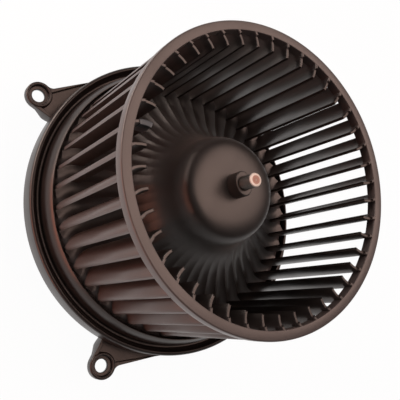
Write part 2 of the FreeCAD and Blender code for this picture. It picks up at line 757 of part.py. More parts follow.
def connector_socket():
    """Plug socket that stands out of the cup, along -X."""
    half_w = socket_width / 2
    half_h = socket_height / 2
    inner_end = -cup_in_r - socket_gap
    mouth = -cup_r - socket_length
    body = block(mouth, inner_end, -half_w, half_w, socket_z - half_h, socket_z + half_h)
    flange_in = -cup_r - socket_gap
    flange = block(flange_in - socket_flange, flange_in, -half_w - socket_flange, half_w + socket_flange,
                   socket_z - half_h - socket_flange, socket_z + half_h + socket_flange)
    cavity = block(mouth - 1, mouth + socket_depth, -half_w + socket_wall, half_w - socket_wall,
                   socket_z - half_h + socket_wall, socket_z + half_h - socket_wall)
    latch = block(mouth, mouth + latch_length, -latch_width / 2, latch_width / 2, socket_z + half_h,
                  socket_z + half_h + latch_height)
    slots = [block(mouth + 1, 0, y - terminal_width / 2, y + terminal_width / 2,
                   socket_z - terminal_thick / 2, socket_z + terminal_thick / 2)
             for y in (-terminal_spacing / 2, terminal_spacing / 2)]
    return joined([body, flange, latch]).cut([cavity] + slots)


def terminal_blades():
    start = -cup_r - socket_length + terminal_recess
    end = -choke_place - choke_r + terminal_lap
    blades = [block(start, end, y - terminal_width / 2, y + terminal_width / 2,
                    socket_z - terminal_thick / 2, socket_z + terminal_thick / 2)
              for y in (-terminal_spacing / 2, terminal_spacing / 2)]
    return Part.makeCompound(blades)


PARTS = {
    "fan_hub": fan_hub,
    "fan_blades": fan_blades,
    "fan_ring": fan_ring,
    "balance_clip": balance_clip,
    "motor_shaft": motor_shaft,
    "armature_core": armature_core,
    "armature_windings": armature_windings,
    "commutator": commutator,
    "thrust_washers": thrust_washers,
    "front_bearing": lambda: bearing(front_bearing_z),
    "rear_bearing": lambda: bearing(rear_bearing_z),
    "front_bearing_retainer": lambda: bearing_retainer(can_front_z - can_wall, -1),
    "rear_bearing_retainer": lambda: bearing_retainer(can_rear_z, 1),
    "motor_can": motor_can,
    "magnet_right": lambda: magnet(0),
    "magnet_left": lambda: magnet(180),
    "magnet_springs": magnet_springs,
    "end_plate": end_plate,
    "brush_card": brush_card,
    "brush_holders": brush_holders,
    "brush_upper": lambda: brush(0),
    "brush_lower": lambda: brush(180),
    "brush_spring_upper": lambda: brush_spring(0),
    "brush_spring_lower": lambda: brush_spring(180),
    "choke_coils": choke_coils,
    "front_isolator": lambda: isolator(floor_z - cup_lip_thick - isolator_height),
    "rear_isolator": lambda: isolator(can_rear_z),
    "flange_rim": flange_rim,
    "flange_floor": flange_floor,
    "flange_ribs": flange_ribs,
    "mounting_ears": mounting_ears,
    "motor_cup": motor_cup,
    "screw_bosses": screw_bosses,
    "rear_cover": rear_cover,
    "cover_screws": cover_screws,
    "connector_socket": connector_socket,
    "terminal_blades": terminal_blades,
}

os.makedirs("parts", exist_ok=True)
for name, make in PARTS.items():
    shape = make()
    shape.exportStep("parts/" + name + ".step")
    print(name, "solids", len(shape.Solids), "volume", round(shape.Volume, 1), "valid", shape.isValid())
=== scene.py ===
import json
import math
import bpy
from mathutils import Matrix, Vector


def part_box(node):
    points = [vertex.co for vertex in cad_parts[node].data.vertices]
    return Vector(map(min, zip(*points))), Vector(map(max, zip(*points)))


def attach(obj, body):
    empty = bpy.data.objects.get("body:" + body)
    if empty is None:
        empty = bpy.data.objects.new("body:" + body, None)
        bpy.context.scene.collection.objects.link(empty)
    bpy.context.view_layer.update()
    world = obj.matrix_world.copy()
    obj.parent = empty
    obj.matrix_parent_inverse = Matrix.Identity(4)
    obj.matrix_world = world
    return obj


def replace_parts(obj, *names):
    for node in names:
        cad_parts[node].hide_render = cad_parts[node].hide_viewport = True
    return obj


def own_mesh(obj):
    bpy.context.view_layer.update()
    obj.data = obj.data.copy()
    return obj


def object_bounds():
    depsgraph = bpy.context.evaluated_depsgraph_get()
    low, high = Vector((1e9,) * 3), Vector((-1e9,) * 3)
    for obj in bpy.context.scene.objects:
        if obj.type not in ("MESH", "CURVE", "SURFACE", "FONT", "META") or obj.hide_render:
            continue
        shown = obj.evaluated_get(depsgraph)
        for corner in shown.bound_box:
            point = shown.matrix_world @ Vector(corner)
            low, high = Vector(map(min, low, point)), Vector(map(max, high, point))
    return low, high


# Car cabin blower motor: squirrel-cage wheel on a motor, in a flange with ears.
# Lengths in the dictionaries are millimetres, and meshes are made in metres.

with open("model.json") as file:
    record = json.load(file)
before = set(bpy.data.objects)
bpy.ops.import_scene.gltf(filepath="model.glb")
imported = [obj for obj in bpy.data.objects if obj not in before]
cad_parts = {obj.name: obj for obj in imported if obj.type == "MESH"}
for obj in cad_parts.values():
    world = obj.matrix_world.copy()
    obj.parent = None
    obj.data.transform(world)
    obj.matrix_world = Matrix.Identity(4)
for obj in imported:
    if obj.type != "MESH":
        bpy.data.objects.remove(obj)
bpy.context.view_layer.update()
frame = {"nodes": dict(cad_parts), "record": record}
mm = 0.001
crease = 40  # degrees between two faces from which their edge stays sharp
nodes = frame["nodes"]


def cornersOf(node):
    low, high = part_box(node)
    return low / mm, high / mm


# Meshes and outlines

def bend(points, share):
    # point of a Bezier curve at a share of its way
    while len(points) > 1:
        points = [a.lerp(b, share) for a, b in zip(points, points[1:])]
    return points[0]


def curveThrough(points, steps, first=0):
    # points along a Bezier curve given by its handles
    handles = [Vector(p) for p in points]
    return [bend(handles, k / steps) for k in range(first, steps + 1)]


def roundCorners(corners, step=15):
    # closed outline of (x, y, corner radius), with an arc at each corner and a point every few degrees
    path = []
    for k, (x, y, radius) in enumerate(corners):
        here = Vector((x, y))
        if radius <= 0:
            path.append(here)
            continue
        before = (Vector(corners[k - 1][:2]) - here).normalized()
        after = (Vector(corners[(k + 1) % len(corners)][:2]) - here).normalized()
        half = before.angle(after) / 2
        middle = here + (before + after).normalized() * radius / math.sin(half)
        start = here + before * radius / math.tan(half) - middle
        end = here + after * radius / math.tan(half) - middle
        sweep = math.atan2(start.x * end.y - start.y * end.x, start.dot(end))
        steps = max(2, round(abs(math.degrees(sweep)) / step))
        path += [middle + Matrix.Rotation(sweep * s / steps, 2) @ start for s in range(steps + 1)]
    return path


def newObject(name, data):
    made = bpy.data.objects.new(name, data)
    bpy.context.scene.collection.objects.link(made)
    return made


def finishMesh(name, mesh, material, sharp):
    mesh.polygons.foreach_set("use_smooth", [True] * len(mesh.polygons))
    mesh.set_sharp_from_angle(angle=math.radians(sharp))
    mesh.materials.clear()
    mesh.materials.append(material)
    return newObject(name, mesh)


def makePiece(name, points, faces, material, sharp=crease):
    mesh = bpy.data.meshes.new(name)
    mesh.from_pydata([tuple(Vector(p) * mm) for p in points], [], faces)
    mesh.validate()
    return finishMesh(name, mesh, material, sharp)


def gridFaces(rows, columns, offset=0, closeRows=True, closeColumns=True):
    # quads between rows of points, optionally closed both ways
    faces = []
    for r in range(rows if closeRows else rows - 1):
        for c in range(columns if closeColumns else columns - 1):
            a = offset + r * columns + c
            b = offset + r * columns + (c + 1) % columns
            low = offset + (r + 1) % rows * columns
            faces.append((a, b, low + (c + 1) % columns, low + c))
    return faces


def arcPoints(centre, radius, start, end, steps):
    # points of a circle's arc between two angles in degrees
    angles = [math.radians(start + (end - start) * k / steps) for k in range(steps + 1)]
    return [Vector((centre[0] + radius * math.cos(a), centre[1] + radius * math.sin(a))) for a in angles]


def crossing(p, along, q, across):
    # where two lines in a plane meet
    share = ((q - p).x * across.y - (q - p).y * across.x) / (along.x * across.y - along.y * across.x)
    return p + along * share


def divided(outline, step):
    # closed outline with its long stretches divided
    path = []
    for a, b in zip(outline, outline[1:] + outline[:1]):
        count = max(1, math.ceil((b - a).length / step))
        path += [a.lerp(b, k / count) for k in range(count)]
    return path


def spun(path, turns):
    # points of a profile (radius, height) turned about the shaft
    points = []
    for p in path:
        for k in range(turns):
            angle = 2 * math.pi * k / turns
            points.append((p[0] * math.cos(angle), p[0] * math.sin(angle), p[1]))
    return points


def lathe(name, path, material, turns=264, sharp=crease):
    return makePiece(name, spun(path, turns), gridFaces(len(path), turns), material, sharp)


def joinPieces(name, pieces):
    # one mesh out of several, as a moulding is one piece
    bpy.ops.object.select_all(action="DESELECT")
    for piece in pieces:
        piece.select_set(True)
    bpy.context.view_layer.objects.active = pieces[0]
    bpy.ops.object.join()
    pieces[0].name = name
    pieces[0].data.name = name
    return pieces[0]


def plate(name, outlines, bottom, top, edge, material, grow=0.0):
    # flat moulding from closed outlines (the later ones are holes), with rounded edges
    curve = bpy.data.curves.new(name, "CURVE")
    curve.dimensions = "2D"
    curve.fill_mode = "BOTH"
    curve.extrude = ((top - bottom) / 2 - edge) * mm
    curve.bevel_depth = edge * mm
    curve.bevel_resolution = 3
    curve.offset = (grow - edge) * mm
    for outline in outlines:
        spline = curve.splines.new("POLY")
        spline.points.add(len(outline) - 1)
        for point, (x, y) in zip(spline.points, outline):
            point.co = (x * mm, y * mm, 0, 1)
        spline.use_cyclic_u = True
    maker = newObject(name + "Maker", curve)
    bpy.context.view_layer.update()
    mesh = bpy.data.meshes.new_from_object(maker.evaluated_get(bpy.context.evaluated_depsgraph_get()))
    bpy.data.objects.remove(maker)
    mesh.transform(Matrix.Translation((0, 0, (top + bottom) / 2 * mm)))
    return finishMesh(name, mesh, material, crease)


# Materials

# what all finishes share: noise detail, where the gloss spreads, where edges wear, depth of the grain
pattern = {
    "patchDetail": 4.0, "patchRough": 0.6, "grainDetail": 2.0, "grainRough": 0.5, "grainDepth": 0.2,
    "glossFrom": 0.3, "glossTo": 0.7, "edgeFrom": 0.52, "edgeTo": 0.6, "bloomRough": 0.45}


def linear(hexColour):
    # sRGB hex to the linear colour that shaders use
    parts = [int(hexColour[k:k + 2], 16) / 255 for k in (1, 3, 5)]
    return [p / 12.92 if p <= 0.04045 else ((p + 0.055) / 1.055) ** 2.4 for p in parts] + [1.0]


def addNode(tree, kind, settings=None, inputs=None):
    node = tree.nodes.new(kind)
    for name, value in (settings or {}).items():
        setattr(node, name, value)
    for name, value in (inputs or {}).items():
        if isinstance(value, bpy.types.NodeSocket):
            tree.links.new(value, node.inputs[name])
        else:
            node.inputs[name].default_value = value
    return node


def emptyTree(owner):
    # node tree of a material or world, without the nodes it starts with
    owner.use_nodes = True
    owner.node_tree.nodes.clear()
    return owner.node_tree


def surface(name, finish):
    # shader of every finish: patches in colour and gloss, worn edges and a fine grain
    material = bpy.data.materials.new(name)
    tree = emptyTree(material)
    place = addNode(tree, "ShaderNodeTexCoord").outputs["Object"]
    if "stretch" in finish:
        place = addNode(tree, "ShaderNodeMapping", {}, {
            "Vector": place, "Scale": finish["stretch"]}).outputs[0]
    patches = addNode(tree, "ShaderNodeTexNoise", {}, {
        "Vector": place, "Scale": 1000 / finish["patchMm"],
        "Detail": pattern["patchDetail"], "Roughness": pattern["patchRough"]}).outputs["Fac"]
    grain = addNode(tree, "ShaderNodeTexNoise", {}, {
        "Vector": place, "Scale": 1000 / finish["grainMm"],
        "Detail": pattern["grainDetail"], "Roughness": pattern["grainRough"]}).outputs["Fac"]
    tint = addNode(tree, "ShaderNodeMix", {"data_type": "RGBA"}, {
        "Factor": patches, "A": linear(finish["dark"]), "B": linear(finish["light"])}).outputs["Result"]
    if "paintedLight" in finish:
        # painted light: the outside of the wheel, its ring and the blades' outer parts, is coloured
        # lighter, and the inside of the cage is left darker as painted shade
        flat = addNode(tree, "ShaderNodeVectorMath", {"operation": "MULTIPLY"}, {
            0: place, 1: (1.0, 1.0, 0.0)})
        radius = addNode(tree, "ShaderNodeVectorMath", {"operation": "LENGTH"}, {0: flat.outputs["Vector"]})
        outside = addNode(tree, "ShaderNodeMapRange", {"interpolation_type": "SMOOTHSTEP"}, {
            "Value": radius.outputs["Value"], "From Min": finish["paintedLightFrom"] * mm,
            "From Max": finish["paintedLightTo"] * mm, "To Min": 0.0, "To Max": 1.0}).outputs["Result"]
        tint = addNode(tree, "ShaderNodeMix", {"data_type": "RGBA"}, {
            "Factor": outside, "A": tint, "B": linear(finish["paintedLight"])}).outputs["Result"]
    edges = addNode(tree, "ShaderNodeMapRange", {}, {
        "Value": addNode(tree, "ShaderNodeNewGeometry").outputs["Pointiness"],
        "From Min": pattern["edgeFrom"], "From Max": pattern["edgeTo"],
        "To Min": 0.0, "To Max": finish["edgeWear"]}).outputs["Result"]
    colour = addNode(tree, "ShaderNodeMix", {"data_type": "RGBA"}, {
        "Factor": edges, "A": tint, "B": linear(finish["worn"])}).outputs["Result"]
    gloss = addNode(tree, "ShaderNodeMapRange", {}, {
        "Value": patches, "From Min": pattern["glossFrom"], "From Max": pattern["glossTo"],
        "To Min": finish["rough"] - finish["roughSpread"],
        "To Max": finish["rough"] + finish["roughSpread"]}).outputs["Result"]
    bump = addNode(tree, "ShaderNodeBump", {}, {
        "Height": grain, "Strength": finish["bump"],
        "Distance": finish["grainMm"] * mm * pattern["grainDepth"]}).outputs["Normal"]
    shader = addNode(tree, "ShaderNodeBsdfPrincipled", {}, {
        "Base Color": colour, "Roughness": gloss, "Normal": bump, "Metallic": finish["metallic"]})
    if "ior" in finish:
        shader.inputs["IOR"].default_value = finish["ior"]
    if "bloom" in finish:
        shader.inputs["Sheen Weight"].default_value = finish["bloom"]
        shader.inputs["Sheen Roughness"].default_value = pattern["bloomRough"]
        shader.inputs["Sheen Tint"].default_value = linear(finish["bloomTint"])
    if "glint" in finish:
        shader.inputs["Specular Tint"].default_value = linear(finish["glint"])
    addNode(tree, "ShaderNodeOutputMaterial", {}, {"Surface": shader.outputs["BSDF"]})
    return material


# talc-filled polypropylene, moulded against an eroded tool: satin, nearly black with a warm cast
wheelPlastic = surface("talc filled polypropylene, moulded", {
    "dark": "#121010", "light": "#1e1a19", "worn": "#4a3f3a", "patchMm": 22, "grainMm": 0.5,
    "rough": 0.36, "roughSpread": 0.06, "bump": 0.25, "edgeWear": 0.35, "metallic": 0.0, "ior": 1.55,
    "bloom": 0.06, "bloomTint": "#d8c4ba", "glint": "#fff4ee",
    # the lighter colour from 65 to 72 mm out is painted light on the ring and the blades' outer parts;
    # inside it the cage is left darker as painted shade
    "paintedLight": "#3b3433", "paintedLightFrom": 65, "paintedLightTo": 72})
# the same resin with more gloss, as the flange's tool is polished
flangePlastic = surface("glossy polypropylene, moulded", {
    "dark": "#0c0a0a", "light": "#171211", "worn": "#423832", "patchMm": 30, "grainMm": 0.6,
    "rough": 0.33, "roughSpread": 0.06, "bump": 0.2, "edgeWear": 0.25, "metallic": 0.0, "ior": 1.49,
    "bloom": 0.02, "bloomTint": "#d8b4a8", "glint": "#ffeee6"})
# glass-filled nylon, a duller black with a coarse grain
socketPlastic = surface("glass filled nylon, moulded", {
    "dark": "#1d1d1e", "light": "#28282a", "worn": "#45454a", "patchMm": 9, "grainMm": 0.35,
    "rough": 0.5, "roughSpread": 0.08, "bump": 0.35, "edgeWear": 0.2, "metallic": 0.0, "ior": 1.53})
# carbon steel, ground and oiled: fine rings round a shaft coloured dark, as painted shade on its side
shaftSteel = surface("carbon steel, ground", {
    "dark": "#3a3431", "light": "#544c48", "worn": "#a89c94", "patchMm": 6, "grainMm": 0.25,
    "rough": 0.32, "roughSpread": 0.06, "bump": 0.3, "edgeWear": 0.6, "metallic": 1.0,
    "stretch": (0.15, 0.15, 1.0)})
# the sheared end of the shaft, coloured straw and copper and lighter than the side: painted light on the
# end face
endPaintedLit = surface("carbon steel, parted off", {
    "dark": "#7f5748", "light": "#a67e70", "worn": "#cdb8ae", "patchMm": 3, "grainMm": 0.2,
    "rough": 0.5, "roughSpread": 0.08, "bump": 0.3, "edgeWear": 0.6, "metallic": 0.25, "ior": 1.5})
# the turned chamfer round it, coloured pale: a painted highlight
chamferPaintedHighlight = surface("carbon steel, turned", {
    "dark": "#a8998f", "light": "#cfc2b8", "worn": "#efe6df", "patchMm": 3, "grainMm": 0.2,
    "rough": 0.45, "roughSpread": 0.08, "bump": 0.2, "edgeWear": 0.5, "metallic": 0.4, "ior": 1.6})
# spring steel strip and wire, zinc plated: pale with a satin streak
springSteel = surface("spring steel, zinc plated", {
    "dark": "#a3a29d", "light": "#c4c3bd", "worn": "#e8e6df", "patchMm": 4, "grainMm": 0.2,
    "rough": 0.34, "roughSpread": 0.08, "bump": 0.25, "edgeWear": 0.5, "metallic": 1.0,
    "stretch": (1.0, 1.0, 0.2)})
# spring steel, phosphated and oiled: a dull blue-grey
blackSpring = surface("spring steel, phosphated", {
    "dark": "#2e3033", "light": "#45484c", "worn": "#74777b", "patchMm": 3, "grainMm": 0.3,
    "rough": 0.5, "roughSpread": 0.08, "bump": 0.4, "edgeWear": 0.4, "metallic": 0.6})
# mild steel sheet, zinc plated: spangled patches
canSteel = surface("mild steel, zinc plated", {
    "dark": "#8d9092", "light": "#b5b8ba", "worn": "#d9dbdc", "patchMm": 5, "grainMm": 0.3,
    "rough": 0.38, "roughSpread": 0.1, "bump": 0.2, "edgeWear": 0.4, "metallic": 1.0})
# enamelled copper wire and copper bars: warm, with a satin streak
copper = surface("copper, enamelled", {
    "dark": "#8a4a2c", "light": "#b86a42", "worn": "#e0a07c", "patchMm": 3, "grainMm": 0.3,
    "rough": 0.35, "roughSpread": 0.1, "bump": 0.4, "edgeWear": 0.3, "metallic": 0.9,
    "stretch": (1.0, 1.0, 0.25)})
# oil-filled bronze, sintered: matt and porous
bronze = surface("bronze, sintered", {
    "dark": "#77582f", "light": "#9c7a48", "worn": "#c9a870", "patchMm": 2, "grainMm": 0.2,
    "rough": 0.55, "roughSpread": 0.1, "bump": 0.6, "edgeWear": 0.3, "metallic": 0.9})
# tinned brass sheet, stamped: pale grey, and yellow where its edges are worn
tinnedBrass = surface("brass, tinned", {
    "dark": "#b3afa2", "light": "#d0ccbd", "worn": "#d9b46a", "patchMm": 3, "grainMm": 0.2,
    "rough": 0.3, "roughSpread": 0.08, "bump": 0.2, "edgeWear": 0.6, "metallic": 1.0,
    "stretch": (0.2, 1.0, 1.0)})
# ferrite, sintered and ground: charcoal with a mineral sheen
ferrite = surface("ferrite, sintered", {
    "dark": "#252527", "light": "#3a3a3d", "worn": "#5c5c60", "patchMm": 6, "grainMm": 0.3,
    "rough": 0.5, "roughSpread": 0.1, "bump": 0.4, "edgeWear": 0.4, "metallic": 0.2, "ior": 1.9})
# silicon steel laminations, stamped: thin lines along the stack
laminations = surface("silicon steel, stamped and stacked", {
    "dark": "#4b4d50", "light": "#6e7073", "worn": "#9a9c9f", "patchMm": 3, "grainMm": 0.5,
    "rough": 0.45, "roughSpread": 0.1, "bump": 0.8, "edgeWear": 0.3, "metallic": 0.9,
    "stretch": (0.05, 0.05, 1.0)})
# paper-filled phenolic board, punched: brown and fibrous
phenolic = surface("phenolic board, punched", {
    "dark": "#5b3a22", "light": "#7a5233", "worn": "#a27c58", "patchMm": 5, "grainMm": 0.3,
    "rough": 0.5, "roughSpread": 0.08, "bump": 0.4, "edgeWear": 0.3, "metallic": 0.0, "ior": 1.6})
# carbon, pressed and baked: dull grey-black
carbon = surface("carbon, pressed", {
    "dark": "#1c1c1d", "light": "#2a2a2c", "worn": "#4a4a4d", "patchMm": 2, "grainMm": 0.2,
    "rough": 0.55, "roughSpread": 0.1, "bump": 0.6, "edgeWear": 0.3, "metallic": 0.1, "ior": 1.6})
# acetal, moulded: ivory and waxy
acetal = surface("acetal, moulded", {
    "dark": "#cfc6b0", "light": "#ded7c4", "worn": "#efeadd", "patchMm": 4, "grainMm": 0.3,
    "rough": 0.38, "roughSpread": 0.05, "bump": 0.15, "edgeWear": 0.2, "metallic": 0.0, "ior": 1.48})
# EPDM rubber, moulded: soft black with a dusty bloom
rubber = surface("EPDM rubber, moulded", {
    "dark": "#191919", "light": "#242424", "worn": "#3a3a3a", "patchMm": 6, "grainMm": 0.3,
    "rough": 0.72, "roughSpread": 0.06, "bump": 0.5, "edgeWear": 0.2, "metallic": 0.0, "ior": 1.52})
print("materials made")

slotFinish = {
    "wheel_plastic": wheelPlastic, "flange_plastic": flangePlastic, "cover_plastic": flangePlastic,
    "socket_plastic": socketPlastic, "shaft_steel": shaftSteel, "clip_steel": blackSpring,
    "can_steel": canSteel, "plate_steel": canSteel, "screw_steel": canSteel, "spring_steel": springSteel,
    "lamination_steel": laminations, "ferrite": ferrite, "copper": copper, "bronze": bronze,
    "brass": tinnedBrass, "terminal_tin": tinnedBrass, "carbon": carbon, "card": phenolic,
    "washer_plastic": acetal, "rubber": rubber}
for part in frame["record"]["subparts"]:
    cadMesh = nodes[part["node"]].data
    cadMesh.materials.clear()
    cadMesh.materials.append(slotFinish[part["material_slot"]])


# Fan wheel

ringLow, ringHigh = cornersOf("fan_ring")
hubLow, hubHigh = cornersOf("fan_hub")
wheel = {
    "radius": ringHigh.x, "top": ringHigh.z, "base": hubLow.z, "roundStep": 20,
    # ring, and the rounding of its corners from the lower inside one outwards
    "ringWidth": 4.8, "ringDepth": ringHigh.z - ringLow.z, "ringRounds": (0.4, 0.5, 0.75, 0.45),
    # blades: arcs in section, from inside the base to below the ring's top
    "blades": 44, "firstBlade": 4.14, "bladeTop": cornersOf("fan_blades")[1].z, "bladeFoot": 1.6,
    "bladeDepth": 12.8, "bladeThick": 1.5, "bladeCurve": 12.5, "bladeLean": 1.9, "bladeEdge": 0.25,
    "setBack": 0.35, "bladeSteps": 12, "noseSteps": 6, "bladeCrease": 50,
    # stubs: the blades' ends that show inside the ring
    "stub": 1.7, "stubDeep": 3.0, "stubBelow": 0.1, "stubInRing": 0.6, "stubSteps": 3,
    # bell: each bend gives its curve's handles as shares of the stretch's width and height
    "capHeight": hubHigh.z - 5.5, "capFall": 3.5, "shoulder": 25.2, "neck": 29.0, "neckHeight": 57.0,
    "capBend": (0.46, 0.16, 0.11), "shoulderBend": (0.58, 0.2, 0.18, 0.42),
    "flankBend": (0.066, 0.36, 0.273, 0.33), "rootRise": 2.0, "skirtRun": 5.0, "baseThick": 3.5,
    "baseEdge": 0.4, "wall": 2.2, "fluteDeep": 1.5, "fluteRun": 24.0, "fluteRound": 0.9,
    "capSteps": 12, "shoulderSteps": 10, "flankSteps": 30, "skirtSteps": 8, "pointsPerBlade": 10,
    # boss round the shaft, and its sleeve under the cap
    "bossRadius": 6.4, "bossNarrow": 4.8, "bossTop": hubHigh.z + 2.2, "bossSink": 3.0, "bossRound": 0.8,
    "bossTurns": 96, "mouthRound": 0.2, "sleeveDepth": 14.0, "sleeveFillet": 1.0, "sleeveEdge": 0.5,
    "hole": 4.0, "shaftRadius": 3.5, "shaftFit": 0.05}
bladeTip = wheel["radius"] - wheel["bladeDepth"]
# centre of the arc that a blade's section follows, for a blade along +X
arcX = bladeTip + wheel["bladeLean"]
arcY = math.sqrt(wheel["bladeCurve"] ** 2 - wheel["bladeLean"] ** 2)


def arcAngle(radius):
    # where on its arc a blade reaches a distance along +X
    return math.atan2(-math.sqrt(wheel["bladeCurve"] ** 2 - (radius - arcX) ** 2), radius - arcX)


def bladeSlip(radius):
    # how far round, in radians, the blade's centre line has moved at a radius
    if radius <= bladeTip:
        return 0.0
    x = min(radius, wheel["radius"])
    return math.atan2(arcY - math.sqrt(wheel["bladeCurve"] ** 2 - (x - arcX) ** 2), x)


def bladeTurn(k):
    return Matrix.Rotation(math.radians(wheel["firstBlade"] + 360 * k / wheel["blades"]), 2)


def hubProfile():
    # outside of the bell from the boss to the wheel's edge; the flutes fade in below the neck
    top = wheel["base"] + wheel["baseThick"]
    cap, boss = wheel["capHeight"], wheel["bossRadius"]
    neck = (wheel["neck"], wheel["neckHeight"])
    shoulder = (wheel["shoulder"], cap - wheel["capFall"])
    root = (bladeTip, top + wheel["rootRise"])
    width, step, drop = shoulder[0] - boss, neck[0] - shoulder[0], shoulder[1] - neck[1]
    run, fall = bladeTip - neck[0], neck[1] - top
    level, inward, down = wheel["capBend"]
    capCurve = [(boss, cap), (boss + level * width, cap),
                (shoulder[0] - inward * width, cap - down * wheel["capFall"]), shoulder]
    outward, down, inward, up = wheel["shoulderBend"]
    shoulderCurve = [shoulder, (shoulder[0] + outward * step, shoulder[1] - down * drop),
                     (neck[0] - inward * step, neck[1] + up * drop), neck]
    outward, down, further, up = wheel["flankBend"]
    flankCurve = [neck, (neck[0] + outward * run, neck[1] - down * fall),
                  (neck[0] + further * run, top + up * fall), root]
    skirtCurve = [root, (bladeTip + wheel["skirtRun"], top), (wheel["radius"], top)]
    path = [Vector((wheel["hole"], cap))] + curveThrough(capCurve, wheel["capSteps"])
    path += curveThrough(shoulderCurve, wheel["shoulderSteps"], 1)
    smooth = len(path)
    path += curveThrough(flankCurve, wheel["flankSteps"], 1)
    path += curveThrough(skirtCurve, wheel["skirtSteps"], 1)
    grown = [min(1.0, max(0.0, (p.x - wheel["neck"]) / wheel["fluteRun"])) for p in path]
    depths = [p.x * wheel["fluteDeep"] / wheel["radius"] * g * g * (3 - 2 * g) for p, g in zip(path, grown)]
    depths[:smooth] = [0.0] * smooth
    return path, depths


def makeHub():
    path, depths = hubProfile()
    around = wheel["blades"] * wheel["pointsPerBlade"]
    points = []
    for p, depth in zip(path, depths):
        slip = bladeSlip(p.x)
        for c in range(around):
            angle = 2 * math.pi * c / around
            gap = wheel["blades"] / (2 * math.pi) * (angle - math.radians(wheel["firstBlade"]) - slip)
            # zero on the ridge at a blade, one in the middle of the gap, with a rounded bottom
            wave = math.sin(math.pi / 2 * (1 - abs(2 * (gap % 1) - 1))) ** wheel["fluteRound"]
            radius, height = p.x - depth * wave, p.y - depth * wave
            points.append((radius * math.cos(angle), radius * math.sin(angle), height))
    # the inside lies a wall behind every third point, and ends in a slope to the base
    inner = []
    for k in range(1, len(path) - wheel["skirtSteps"] - 2, 3):
        along = path[k + 1] - path[k - 1]
        inner.append(path[k] + Vector((along.y, -along.x)).normalized() * (wheel["wall"] + depths[k]))
    base, edge = wheel["base"], wheel["baseEdge"]
    foot = inner[-1].x + inner[-1].y - base
    boss, low = wheel["bossRadius"], wheel["capHeight"] - wheel["sleeveDepth"]
    under = wheel["capHeight"] - wheel["wall"]
    fillet, mouth = wheel["sleeveFillet"], wheel["sleeveEdge"]
    closing = [Vector(p) for p in (
        (wheel["radius"], base + edge), (wheel["radius"] - edge, base), (foot, base))]
    closing += inner[:0:-1]
    closing += [Vector(p) for p in (
        (boss + fillet, under), (boss, under - fillet), (boss, low + mouth), (boss - mouth, low),
        (wheel["hole"], low))]
    points += spun(closing, around)
    return makePiece("hub", points, gridFaces(len(path) + len(closing), around), wheelPlastic)


def bladeSection(startRadius, endRadius, thick, steps):
    # outline of a blade's section with a rounded inner tip
    start = math.atan2(-arcY, startRadius - arcX)
    end = arcAngle(endRadius)
    outer, inner = wheel["bladeCurve"] + thick / 2, wheel["bladeCurve"] - thick / 2
    angles = [start + (end - start) * k / steps for k in range(steps + 1)]
    far = [Vector((arcX + outer * math.cos(a), arcY + outer * math.sin(a))) for a in angles]
    near = [Vector((arcX + inner * math.cos(a), arcY + inner * math.sin(a))) for a in angles]
    middle = (far[0] + near[0]) / 2
    nose = [middle + Matrix.Rotation(-math.pi * k / wheel["noseSteps"], 2) @ (near[0] - middle)
            for k in range(1, wheel["noseSteps"])]
    limit = wheel["radius"] - wheel["setBack"]
    return [p * min(1.0, limit / p.length) for p in far + near[::-1] + nose]


def makeBlades():
    points, faces = [], []
    edge, thick = wheel["bladeEdge"], wheel["bladeThick"]
    ringInside = wheel["radius"] - wheel["ringWidth"]
    # a blade and its stub: inner and outer radius, bottom, top and the steps of the arc
    bodies = [(bladeTip + thick / 2, wheel["radius"] - wheel["setBack"],
               wheel["base"] + wheel["bladeFoot"], wheel["bladeTop"], wheel["bladeSteps"]),
              (ringInside - wheel["stub"], ringInside + wheel["stubInRing"],
               wheel["top"] - wheel["stubDeep"], wheel["top"] - wheel["stubBelow"], wheel["stubSteps"])]
    for k in range(wheel["blades"]):
        turn = bladeTurn(k)
        for inner, outer, bottom, top, steps in bodies:
            full = bladeSection(inner, outer, thick, steps)
            slim = bladeSection(inner + edge / 2, outer, thick - 2 * edge, steps)
            rows = [(full, bottom), (full, (bottom + top) / 2), (full, top - edge), (slim, top)]
            offset = len(points)
            for outline, z in rows:
                points += [tuple(turn @ p) + (z,) for p in outline]
            size = len(full)
            faces += [face[::-1] for face in gridFaces(len(rows), size, offset, False)]
            faces.append(tuple(range(offset, offset + size))[::-1])
            last = offset + (len(rows) - 1) * size
            faces.append(tuple(range(last, last + size)))
    return makePiece("blades", points, faces, wheelPlastic, wheel["bladeCrease"])


def makeRing():
    inside, outside = wheel["radius"] - wheel["ringWidth"], wheel["radius"]
    low, top = wheel["top"] - wheel["ringDepth"], wheel["top"]
    corners = list(zip((inside, outside, outside, inside), (low, low, top, top), wheel["ringRounds"]))
    return lathe("ring", roundCorners(corners, wheel["roundStep"]), wheelPlastic)


def makeBoss():
    # the boss is oval: two flanks are drawn in towards the shaft
    bore, outside = wheel["shaftRadius"] + wheel["shaftFit"], wheel["bossRadius"]
    low, top = wheel["capHeight"] - wheel["bossSink"], wheel["bossTop"]
    corners = [(bore, low, 0), (outside, low, 0), (outside, top, wheel["bossRound"]),
               (bore, top, wheel["mouthRound"])]
    boss = lathe("boss", roundCorners(corners, wheel["roundStep"]), wheelPlastic, wheel["bossTurns"])
    for vertex in boss.data.vertices:
        radius = Vector(vertex.co[:2]).length / mm
        grown = max(0.0, (radius - wheel["shaftRadius"]) / (outside - wheel["shaftRadius"]))
        slim = 1 - grown * (1 - wheel["bossNarrow"] / outside)
        vertex.co.x *= slim
    return boss


fanWheel = joinPieces("fan_wheel_moulding", [makeHub(), makeBlades(), makeRing(), makeBoss()])
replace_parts(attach(fanWheel, "rotor"), "fan_hub", "fan_blades", "fan_ring")
print("fan wheel made")


# Shaft

shaftLow, shaftHigh = cornersOf("motor_shaft")
shaft = {
    "radius": 3.5, "edge": 0.75, "edgeIn": 0.35, "edgeDown": 0.25, "flat": 2.2, "dimple": 0.8,
    "dimpleSlope": 0.25, "dimpleDeep": 0.4, "cutRadius": 2.35, "endFrom": 0.9, "turns": 64, "crease": 25}


